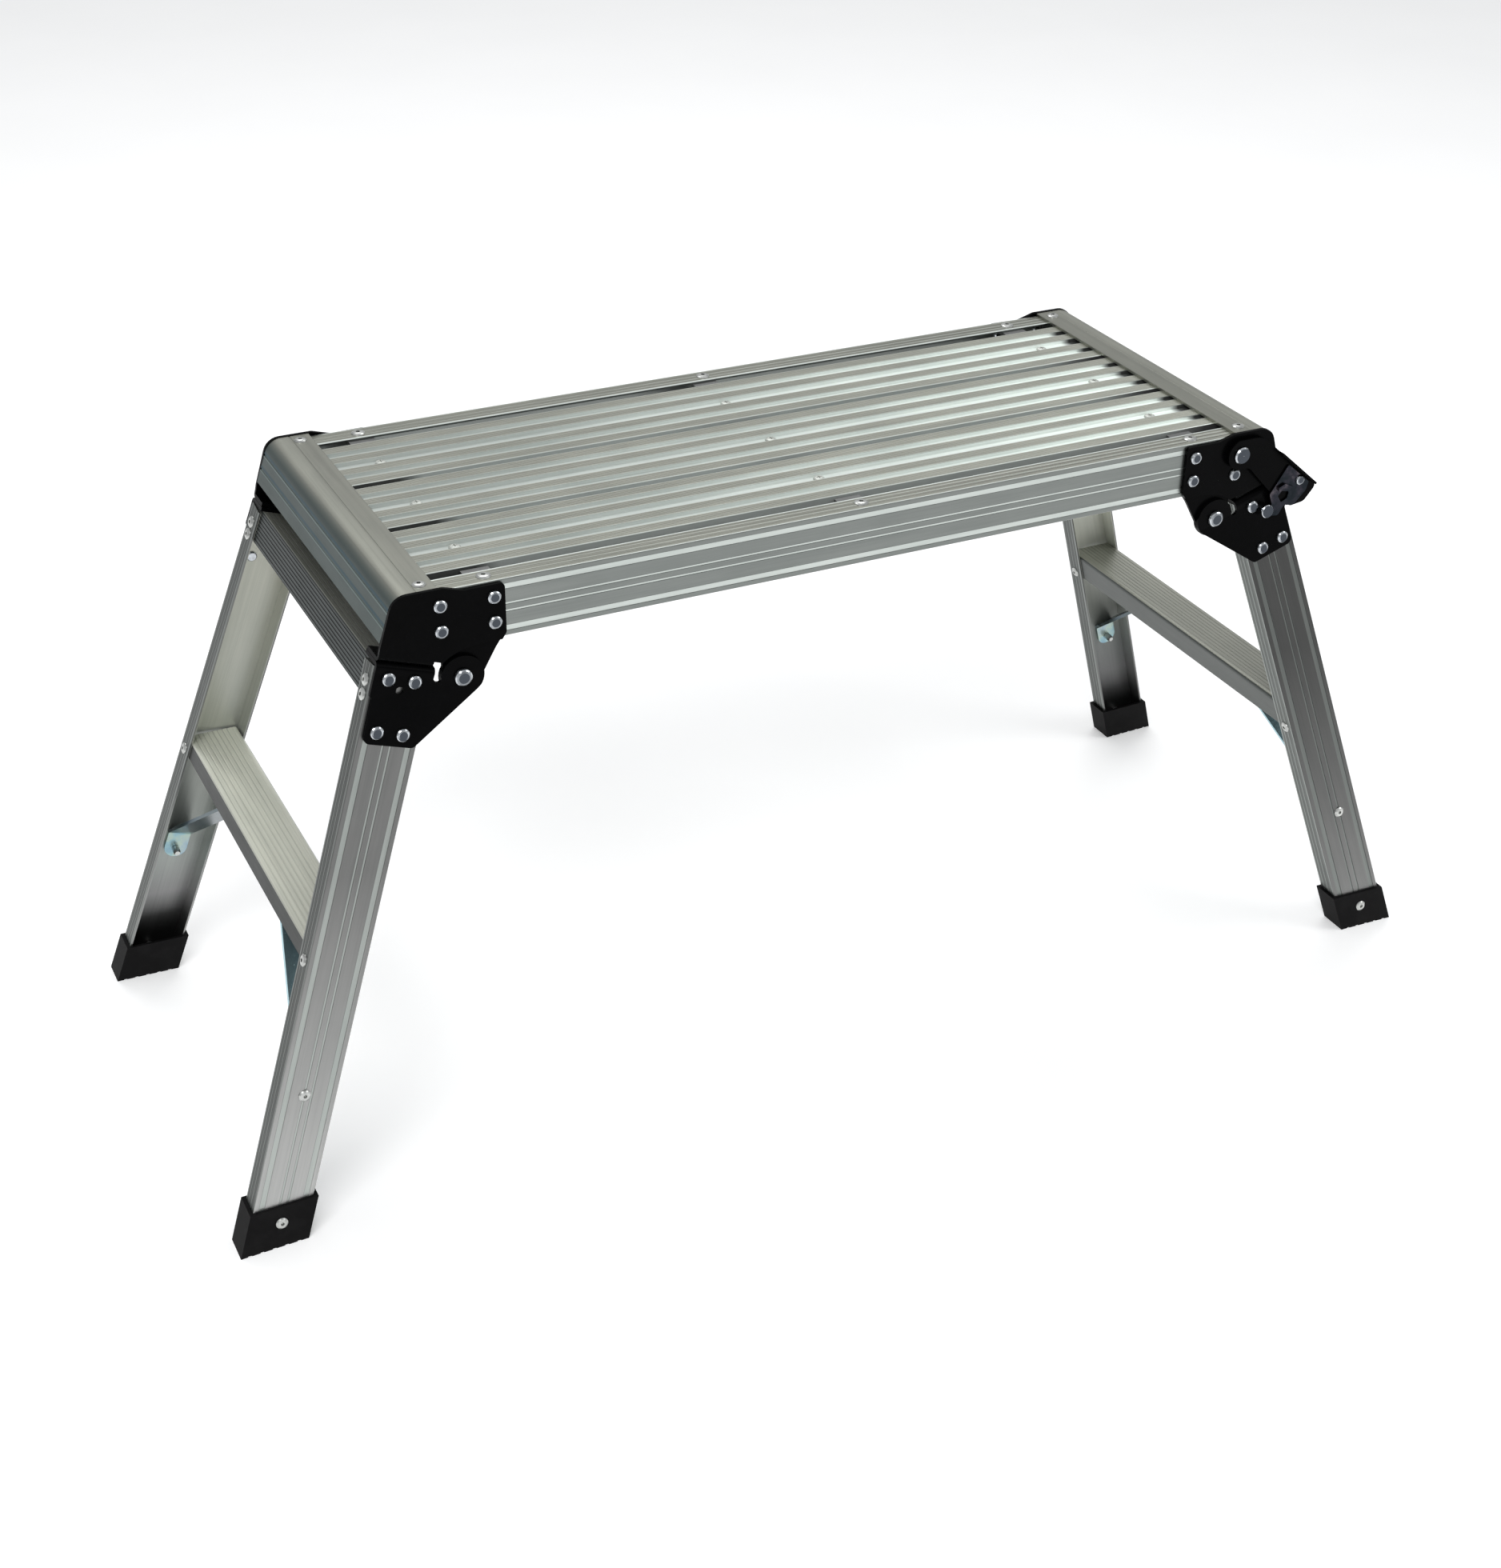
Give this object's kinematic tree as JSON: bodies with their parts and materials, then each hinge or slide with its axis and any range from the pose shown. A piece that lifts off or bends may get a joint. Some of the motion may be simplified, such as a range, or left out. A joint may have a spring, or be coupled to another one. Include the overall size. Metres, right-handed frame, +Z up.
{
  "type": "work platform bench",
  "caption": "Folding aluminium work platform bench with a ribbed plank deck, splayed leg frames with a step and braces, hinge plates and a latch.",
  "frame": {"origin": "on the floor, under the middle of the deck, with the legs unfolded", "axes": "+X along the deck to the right, +Y across it to the rear, +Z up"},
  "size_m": [1.1216, 0.4308, 0.5121],
  "materials": {
    "aluminium_deck": "extruded aluminium, satin mill finish, fine lengthwise ribs",
    "aluminium_frame": "extruded aluminium, satin mill finish",
    "black_paint": "semi-gloss black powder coat on pressed steel",
    "black_rubber": "matt black moulded rubber",
    "zinc_plate": "bright zinc plating with a bluish cast",
    "bright_steel": "bright plated steel fasteners"
  },
  "bodies": {
    "platform": {"deck_plank_front": "aluminium_deck", "deck_plank_middle": "aluminium_deck", "deck_plank_rear": "aluminium_deck", "side_rail_front": "aluminium_frame", "side_rail_rear": "aluminium_frame", "end_nose_left": "aluminium_deck", "end_nose_right": "aluminium_deck", "cross_member_left": "aluminium_frame", "cross_member_middle": "aluminium_frame", "cross_member_right": "aluminium_frame", "rail_brackets": "aluminium_frame", "bracket_rivets": "bright_steel", "deck_screws": "bright_steel", "rail_rivets": "bright_steel", "nose_rivets": "bright_steel", "upper_plate_front_left": "black_paint", "upper_plate_rear_left": "black_paint", "upper_plate_front_right": "black_paint", "upper_plate_rear_right": "black_paint", "upper_plate_rivets": "bright_steel", "hinge_pins": "bright_steel", "latch_pivot_rivet": "bright_steel"},
    "left_leg_frame": {"leg_front_left": "aluminium_frame", "leg_rear_left": "aluminium_frame", "top_crossbar_left": "aluminium_frame", "step_left": "aluminium_frame", "brace_front_left": "zinc_plate", "brace_rear_left": "zinc_plate", "foot_front_left": "black_rubber", "foot_rear_left": "black_rubber", "lower_plate_front_left": "black_paint", "lower_plate_rear_left": "black_paint", "lower_plate_rivets_left": "bright_steel", "leg_rivets_left": "bright_steel"},
    "right_leg_frame": {"leg_front_right": "aluminium_frame", "leg_rear_right": "aluminium_frame", "top_crossbar_right": "aluminium_frame", "step_right": "aluminium_frame", "brace_front_right": "zinc_plate", "brace_rear_right": "zinc_plate", "foot_front_right": "black_rubber", "foot_rear_right": "black_rubber", "lower_plate_front_right": "black_paint", "lower_plate_rear_right": "black_paint", "lower_plate_rivets_right": "bright_steel", "leg_rivets_right": "bright_steel", "catch_pin": "bright_steel"},
    "latch": {"latch_lever": "black_paint", "latch_tongue": "zinc_plate", "latch_tongue_rivet": "bright_steel"}
  },
  "joints": [
    {"name": "right_leg_fold", "type": "hinge", "parent": "platform", "child": "right_leg_frame", "pos_m": [0.336, 0, 0.4372], "axis": [0, 1, 0], "range_deg": [0, 97]},
    {"name": "left_leg_fold", "type": "hinge", "parent": "platform", "child": "left_leg_frame", "pos_m": [-0.336, 0, 0.4372], "axis": [0, -1, 0], "range_deg": [0, 108.8]},
    {"name": "latch_lift", "type": "hinge", "parent": "platform", "child": "latch", "pos_m": [0.3525, -0.163, 0.4934], "axis": [0, -1, 0], "range_deg": [0, 30], "stiffness_Nm_per_rad": 0.05, "springref_deg": -28.65}
  ]
}
